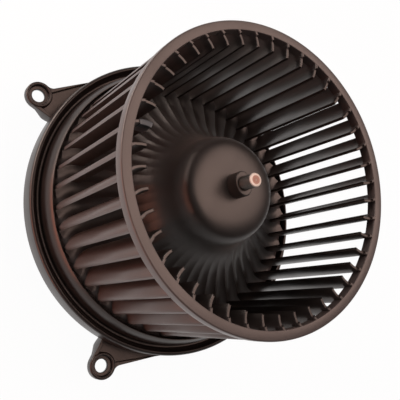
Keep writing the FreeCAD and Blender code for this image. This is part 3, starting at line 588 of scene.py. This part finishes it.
def makeShaft():
    radius, edge, low, top = shaft["radius"], shaft["edge"], shaftLow.z, shaftHigh.z
    path = [
        (0.0, low), (radius - edge, low), (radius, low + edge), (radius, top - edge),
        (radius - edge * shaft["edgeIn"], top - edge * shaft["edgeDown"]), (radius - edge, top),
        (shaft["flat"], top), (shaft["dimple"], top), (shaft["dimple"] / 2, top - shaft["dimpleSlope"]),
        (0.0, top - shaft["dimpleDeep"])]
    faces = gridFaces(len(path), shaft["turns"], 0, False)
    piece = makePiece("motor_shaft_ground", spun(path, shaft["turns"]), faces, shaftSteel, shaft["crease"])
    piece.data.materials.append(endPaintedLit)
    piece.data.materials.append(chamferPaintedHighlight)
    # the middle of the free end is coloured as painted light, and the turned chamfer round it as a painted
    # highlight
    for face in piece.data.polygons:
        if face.center.z > (top - edge * shaft["endFrom"]) * mm:
            face.material_index = 1 if Vector(face.center[:2]).length < shaft["cutRadius"] * mm else 2
    return piece


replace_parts(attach(makeShaft(), "rotor"), "motor_shaft")
print("shaft made")


# Balance clip and brush springs

clip = {
    "blade": 40, "sheet": 0.5, "start": 0.3, "length": 5.5, "reach": 8.0, "fold": 0.45, "foldRound": 0.3,
    "straight": 1.5, "fit": 0.03, "steps": 12}


def makeClip():
    # a folded strip that hugs one blade's section and rounds over its free end
    top, half = wheel["bladeTop"], wheel["bladeThick"] / 2
    outside, inside = half + clip["sheet"], half + clip["fit"]
    fold, crown, foot = clip["fold"], top + clip["sheet"], top - clip["reach"]
    rounded = clip["foldRound"] * fold
    section = [(outside, foot), (outside, top - clip["straight"]), (outside, crown - fold),
               (outside - rounded, crown - rounded), (outside - fold, crown)]
    section += [(-a, z) for a, z in section[::-1]]
    lining = [(inside, foot), (inside, top + clip["fit"])]
    section += [(-a, z) for a, z in lining] + lining[::-1]
    first, last = arcAngle(bladeTip + clip["start"]), arcAngle(bladeTip + clip["start"] + clip["length"])
    centre, turn = Vector((arcX, arcY)), bladeTurn(clip["blade"])
    points = []
    for k in range(clip["steps"] + 1):
        angle = first + (last - first) * k / clip["steps"]
        away = Vector((math.cos(angle), math.sin(angle)))
        points += [tuple(turn @ (centre + away * (wheel["bladeCurve"] + a))) + (z,) for a, z in section]
    faces = [face[::-1] for face in gridFaces(clip["steps"] + 1, len(section), 0, False)]
    faces.append(tuple(range(len(section))))
    faces.append(tuple(range(clip["steps"] * len(section), len(points)))[::-1])
    return makePiece("balance_clip_folded", points, faces, blackSpring)


spring = {
    "start": 18.15, "end": 22.9, "wire": 0.6, "radius": 1.9, "turns": 4, "closedTurns": 0.75, "rest": 0.12,
    "stepsPerTurn": 32, "wireSteps": 10}


def makeBrushSpring(name, node, direction):
    # round wire with closed end turns
    low, high = cornersOf(node)
    height, wire, rest = (low.z + high.z) / 2, spring["wire"] / 2, spring["rest"]
    steps, around = spring["stepsPerTurn"] * spring["turns"], spring["wireSteps"]
    length = spring["end"] - spring["start"] - spring["wire"]
    closed = spring["closedTurns"] / spring["turns"]
    points = []
    for k in range(steps + 1):
        share = k / steps
        run = min(1.0, max(0.0, (share - closed) / (1 - 2 * closed)))
        rise = spring["start"] + wire + rest + (length - 2 * rest) * run + rest * (share > 0.5)
        turn = 2 * math.pi * spring["turns"] * share
        out = Vector((math.cos(turn), 0, math.sin(turn)))
        for c in range(around):
            angle = 2 * math.pi * c / around
            ring = out * (spring["radius"] + wire * math.cos(angle))
            ring.y = rise + wire * math.sin(angle)
            points.append((ring.x, direction * ring.y, height + ring.z))
    faces = gridFaces(steps + 1, around, 0, False)
    faces.append(tuple(range(around))[::-1])
    faces.append(tuple(range(steps * around, (steps + 1) * around)))
    if direction < 0:
        faces = [face[::-1] for face in faces]
    return makePiece(name, points, faces, springSteel)


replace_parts(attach(makeClip(), "rotor"), "balance_clip")
for side, direction in (("upper", 1), ("lower", -1)):
    coil = makeBrushSpring(f"brush_spring_{side}_coil", f"brush_spring_{side}", direction)
    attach(coil, "housing")
    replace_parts(coil, f"brush_spring_{side}")
    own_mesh(coil)
print("clip and springs made")


# Flange

rimLow, rimHigh = cornersOf("flange_rim")
floorLow, floorHigh = cornersOf("flange_floor")
flange = {
    "radius": rimHigh.x, "lip": 2.0, "skirt": rimHigh.x - 4.2, "skirtBottom": rimLow.z, "wall": 2.2,
    "floor": floorHigh.z, "under": floorLow.z, "cup": 33.2, "cupOverlap": 0.5,
    "rimTop": rimHigh.z, "rimInside": 76.0, "rimOutside": 79.3, "rimRun": 0.1, "slope": 8.5, "round": 2.6,
    "slopeCut": 4, "slopeSteps": 9, "groove": 8.0, "grooveOutside": 81.8, "grooveRun": 0.5,
    "crest": 12.2, "crestRun": 1.5,
    # rounding of its corners
    "edge": 0.5, "corner": 0.6, "lipRound": 0.7, "crestOutside": 1.75, "crestInside": 0.9,
    "grooveRounds": (1.0, 1.1), "mouthRound": 0.35, "floorRound": 1.0, "skirtRound": 0.3,
    "turns": 360, "crease": 35}


def makeFlangeRing():
    # profile up the skirt and the outer rim, over the groove and the inner rim, and back under the floor
    f = flange
    channel = f["groove"] - f["wall"]
    inside = f["rimOutside"] - f["wall"]
    inSkirt, inLip, inCup = f["skirt"] - f["wall"], f["radius"] - f["lip"], f["cup"] - f["cupOverlap"]
    # the inner rim leans in along an arc that stops short of its top
    shoulder = (f["slope"] ** 2 + f["round"] ** 2) / (2 * f["round"])
    turn = math.degrees(math.asin(f["slope"] / shoulder))
    centre = (f["rimOutside"] - shoulder, f["rimTop"] - f["slope"])
    slope = arcPoints(centre, shoulder, 0, turn - f["slopeCut"], f["slopeSteps"])
    corners = [
        (inSkirt, f["skirtBottom"], f["edge"]), (f["skirt"], f["skirtBottom"], f["edge"]),
        (f["skirt"], channel, f["corner"]), (inLip, channel, f["corner"]), (inLip, 0.0, f["edge"]),
        (f["radius"], 0.0, f["lipRound"]), (f["radius"], f["crest"], f["crestOutside"]),
        (f["grooveOutside"] + f["crestRun"], f["crest"], f["crestInside"]),
        (f["grooveOutside"] - f["grooveRun"], f["groove"], f["grooveRounds"][0]),
        (f["rimOutside"], f["groove"], f["grooveRounds"][1])]
    corners += [(p.x, p.y, 0) for p in slope]
    corners += [
        (f["rimOutside"] - f["round"] - f["rimRun"], f["rimTop"], 0),
        (f["rimInside"], f["rimTop"], f["mouthRound"]), (f["rimInside"], f["floor"], f["floorRound"]),
        (inCup, f["floor"], 0), (inCup, f["under"], 0), (inside, f["under"], f["corner"]),
        (inside, channel, f["corner"]), (inSkirt, channel, f["skirtRound"])]
    return lathe("flangeRing", roundCorners(corners), flangePlastic, f["turns"], f["crease"])


ear = {
    # angle of each ear, and the side that its long wall is on
    "directions": ((51.45, 1), (-51.45, -1), (200.0, 1)),
    "place": 97.5, "boss": 7.4, "dish": 5.7, "hole": 3.6, "webTop": -2.5, "webBottom": -4.5, "depth": -9.0,
    "wall": 2.0, "wallTop": -0.6, "longSide": 24.0, "shortSide": 4.0, "offset": 1.1, "fillet": 4.5,
    "farEdge": 0.55, "bossOverlap": 0.45, "seatGap": 0.8, "wallEdge": 0.35, "webEdge": 0.05, "webGrow": 0.6,
    "deepFrom": 1.0, "deepTo": 3.0, "longest": 1.5, "filletSteps": 7, "noseSteps": 24, "roomSteps": 8,
    # rounding of the boss from the hole's lower edge round its outside and through the dish
    "bossRounds": (0.3, 0.6, 1.0, 0.5, 0.6, 0.35), "bossTurns": 72}


def onCircle(radius, angle):
    return Vector((radius * math.cos(math.radians(angle)), radius * math.sin(math.radians(angle))))


def earOutlines():
    # an ear along +X with its long side to +Y: outline of its walls, and the room between them
    hole, boss, wall = Vector((ear["place"], 0)), ear["boss"], ear["wall"]
    joint = flange["skirt"] - flange["wall"]
    far = onCircle(flange["radius"] - ear["farEdge"], ear["longSide"])
    root, near = onCircle(joint, ear["longSide"]), onCircle(joint, -ear["shortSide"])
    reach = far - hole
    along = Matrix.Rotation(-math.asin(ear["offset"] / reach.length), 2) @ reach.normalized()
    side = Vector((along.y, -along.x))
    # a fillet joins the long side to the boss
    height = ear["offset"] + ear["fillet"]
    filletCentre = hole + side * height + along * math.sqrt((boss + ear["fillet"]) ** 2 - height ** 2)
    sideAngle = math.degrees(math.atan2(-side.y, -side.x))
    toHole = hole - filletCentre
    holeAngle = math.degrees(math.atan2(toHole.y, toHole.x))
    sweep = (holeAngle - sideAngle + 180) % 360 - 180
    fillet = arcPoints(filletCentre, ear["fillet"], sideAngle, sideAngle + sweep, ear["filletSteps"])
    # the short side touches the boss
    toNear = near - hole
    gripAngle = math.degrees(math.atan2(toNear.y, toNear.x) + math.acos(boss / toNear.length)) % 360
    start = holeAngle + 180
    sweep = (gripAngle - start) % 360 - 360
    nose = arcPoints(hole, boss, start, start + sweep, ear["noseSteps"])
    outer = [far] + fillet + nose[1:] + [near, root]
    # the room ends at the boss
    ringSide, inward = boss - ear["bossOverlap"], ear["offset"] - wall
    shortSide = (near - nose[-1]).normalized()
    grip = (nose[-1] - hole).normalized()
    first = hole + side * inward + along * math.sqrt(ringSide ** 2 - inward ** 2)
    last = hole + grip * (boss - wall) + shortSide * math.sqrt(ringSide ** 2 - (boss - wall) ** 2)
    start = math.degrees(math.atan2(first.y, first.x - hole.x))
    sweep = (math.degrees(math.atan2(last.y, last.x - hole.x)) - start) % 360
    hollow = arcPoints(hole, ringSide, start, start + sweep, ear["roomSteps"])
    radial = (far - root).normalized()
    inset = Vector((radial.y, -radial.x)) * wall
    corner = crossing(first, along, far + inset, radial)
    room = hollow + [near - grip * wall, root + inset, corner]
    return divided(outer, ear["longest"]), divided(room, ear["longest"])


def taperWalls(piece):
    # the walls are deepest beside the rim, and end in the web's plane at the boss
    stations = [
        (flange["skirt"], flange["skirtBottom"]), (flange["radius"] + ear["deepFrom"], ear["depth"]),
        (flange["radius"] + ear["deepTo"], ear["depth"]),
        (ear["place"] - ear["boss"] / 2, ear["webBottom"] - ear["webEdge"])]
    for vertex in piece.data.vertices:
        x, z = vertex.co.x / mm, vertex.co.z / mm
        if z > ear["webBottom"]:
            continue
        depth = stations[0][1] if x < stations[0][0] else stations[-1][1]
        for (x0, z0), (x1, z1) in zip(stations, stations[1:]):
            if x0 <= x < x1:
                depth = z0 + (z1 - z0) * (x - x0) / (x1 - x0)
        share = (z - ear["webBottom"]) / (ear["depth"] - ear["webBottom"])
        vertex.co.z = (ear["webBottom"] + (depth - ear["webBottom"]) * share) * mm


def makeEar(k, turn, side):
    outer, room = [[(p.x, side * p.y) for p in outline] for outline in earOutlines()]
    # the seat is a circle of 36 points round the boss's dish
    seat = [tuple(p) for p in arcPoints((ear["place"], 0), ear["dish"] + ear["seatGap"], 0, 350, 35)]
    walls = plate(f"earWalls{k}", [outer, room, seat], ear["depth"], ear["wallTop"], ear["wallEdge"],
                  flangePlastic)
    taperWalls(walls)
    web = plate(f"earWeb{k}", [room], ear["webBottom"], ear["webTop"], ear["webEdge"], flangePlastic,
                ear["webGrow"])
    radii = (ear["hole"], ear["boss"], ear["boss"], ear["dish"], ear["dish"], ear["hole"])
    heights = (ear["webBottom"], ear["webBottom"], 0.0, 0.0, ear["webTop"], ear["webTop"])
    corners = list(zip(radii, heights, ear["bossRounds"]))
    boss = lathe(f"earBoss{k}", roundCorners(corners), flangePlastic, ear["bossTurns"])
    boss.data.transform(Matrix.Translation((ear["place"] * mm, 0, 0)))
    for piece in (walls, web, boss):
        piece.data.transform(Matrix.Rotation(math.radians(turn), 4, "Z"))
    return [walls, web, boss]


flangePieces = [makeFlangeRing()]
for k, (turn, side) in enumerate(ear["directions"]):
    flangePieces += makeEar(k, turn, side)
flangeMoulding = joinPieces("flange_moulding", flangePieces)
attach(flangeMoulding, "housing")
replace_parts(flangeMoulding, "flange_rim", "flange_floor", "mounting_ears")
print("flange made")


# Floor, light and camera

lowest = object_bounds()[0].z
# the floor's size is in metres, and haze is how much of it camera and reflections see as plain white
studio = {"floorSize": 4.0, "floorWhite": 0.82, "haze": 0.96, "world": 0.22}


def makeFloor():
    half = studio["floorSize"] / 2
    mesh = bpy.data.meshes.new("floor")
    corners = [(-half, -half, lowest), (half, -half, lowest), (half, half, lowest), (-half, half, lowest)]
    mesh.from_pydata(corners, [], [(0, 1, 2, 3)])
    floor = newObject("floor", mesh)
    material = bpy.data.materials.new("white paper sweep")
    tree = emptyTree(material)
    paper = addNode(tree, "ShaderNodeBsdfDiffuse", {}, {"Color": [studio["floorWhite"]] * 3 + [1.0]})
    glow = addNode(tree, "ShaderNodeEmission", {}, {"Color": [1.0] * 4, "Strength": 1.0})
    rays = addNode(tree, "ShaderNodeLightPath").outputs
    seen = addNode(tree, "ShaderNodeMath", {"operation": "MAXIMUM"}, {
        0: rays["Is Camera Ray"], 1: rays["Is Glossy Ray"]})
    share = addNode(tree, "ShaderNodeMath", {"operation": "MULTIPLY"}, {
        0: seen.outputs[0], 1: studio["haze"]})
    mixed = addNode(tree, "ShaderNodeMixShader", {}, {
        0: share.outputs[0], 1: paper.outputs[0], 2: glow.outputs[0]})
    addNode(tree, "ShaderNodeOutputMaterial", {}, {"Surface": mixed.outputs[0]})
    mesh.materials.append(material)


def makeWorld():
    world = bpy.data.worlds.new("studio")
    bpy.context.scene.world = world
    tree = emptyTree(world)
    rays = addNode(tree, "ShaderNodeLightPath").outputs
    room = addNode(tree, "ShaderNodeBackground", {}, {"Color": [1.0] * 4, "Strength": studio["world"]})
    paper = addNode(tree, "ShaderNodeBackground", {}, {"Color": [1.0] * 4, "Strength": 1.0})
    mixed = addNode(tree, "ShaderNodeMixShader", {}, {
        0: rays["Is Camera Ray"], 1: room.outputs[0], 2: paper.outputs[0]})
    addNode(tree, "ShaderNodeOutputWorld", {}, {"Surface": mixed.outputs[0]})


# place and aim are millimetres, the panel's size is metres, and power is watts
lamps = {
    "softbox over the wheel": {
        "place": (-200, -60, 680), "aim": (0, 0, 45), "size": (0.6, 0.9),
        "power": 5.0, "colour": "#ffe2d6"},
    "softbox at the blades": {
        "place": (340, -480, 120), "aim": (0, 0, 45), "size": (0.5, 0.2),
        "power": 3.7, "colour": "#fff0e8"},
    "strip beside the flange": {
        "place": (520, -30, 45), "aim": (0, 0, 15), "size": (0.6, 0.14),
        "power": 1.6, "colour": "#ffa488"}}


def makeLamp(name, lamp):
    light = bpy.data.lights.new(name, "AREA")
    light.shape = "RECTANGLE"
    light.size, light.size_y = lamp["size"]
    light.energy = lamp["power"]
    light.color = linear(lamp["colour"])[:3]
    place, aim = Vector(lamp["place"]), Vector(lamp["aim"])
    holder = newObject(name, light)
    holder.location = place * mm
    holder.rotation_euler = ((place - aim) * mm).to_track_quat("Z", "Y").to_euler()


# fitted to the photograph; the clip distances are metres
camera = {
    "place": (178.88, 15.17, 306.0), "aim": (-0.1, 1.29, 38.47), "roll": -72.66, "lens": 52.83,
    "sensor": 36.0, "clip": (0.01, 20)}


def makeCamera():
    data = bpy.data.cameras.new("camera")
    data.lens = camera["lens"]
    data.sensor_width = camera["sensor"]
    data.clip_start, data.clip_end = camera["clip"]
    back = (Vector(camera["place"]) - Vector(camera["aim"])).normalized()
    # the photograph is turned about the line of sight
    roll = Matrix.Rotation(math.radians(-camera["roll"]), 3, back).to_quaternion()
    holder = newObject("camera", data)
    holder.rotation_mode = "QUATERNION"
    holder.rotation_quaternion = roll @ back.to_track_quat("Z", "Y")
    holder.location = Vector(camera["place"]) * mm
    bpy.context.scene.camera = holder


makeFloor()
makeWorld()
for name, lamp in lamps.items():
    makeLamp(name, lamp)
makeCamera()
bpy.context.scene.view_settings.view_transform = "Standard"
print("studio made")
